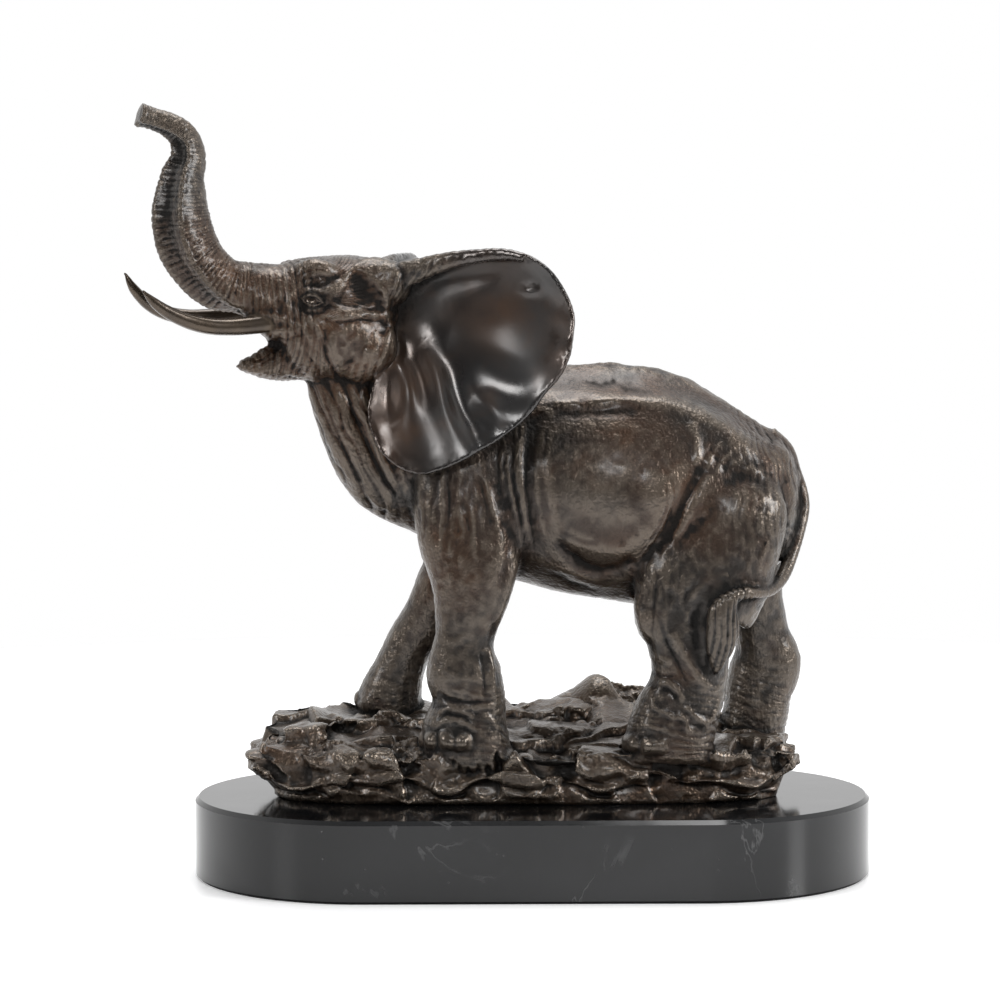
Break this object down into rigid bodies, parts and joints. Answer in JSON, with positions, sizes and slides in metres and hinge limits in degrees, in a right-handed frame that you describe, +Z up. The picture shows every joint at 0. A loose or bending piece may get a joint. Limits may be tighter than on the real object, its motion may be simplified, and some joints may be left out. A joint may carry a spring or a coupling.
{
  "type": "elephant sculpture",
  "caption": "Bronze sculpture of a trumpeting elephant with spread ears striding over rocky ground, on a round-ended black marble plinth with a felt pad beneath.",
  "frame": {"origin": "centre of the plinth on the underside of the felt pad", "axes": "+Z up from the felt's underside; X along the plinth, the elephant walks towards -X; its left side faces -Y"},
  "size_m": [0.2865, 0.1486, 0.2978],
  "materials": {
    "bronze": "dark brown patina, semi-gloss, rubbed warmer on the high places",
    "marble": "polished black with faint grey veins",
    "felt": "matt black felt"
  },
  "bodies": {
    "root": {"bronze_elephant": "bronze", "marble_plinth": "marble", "felt_pad": "felt"}
  },
  "joints": []
}
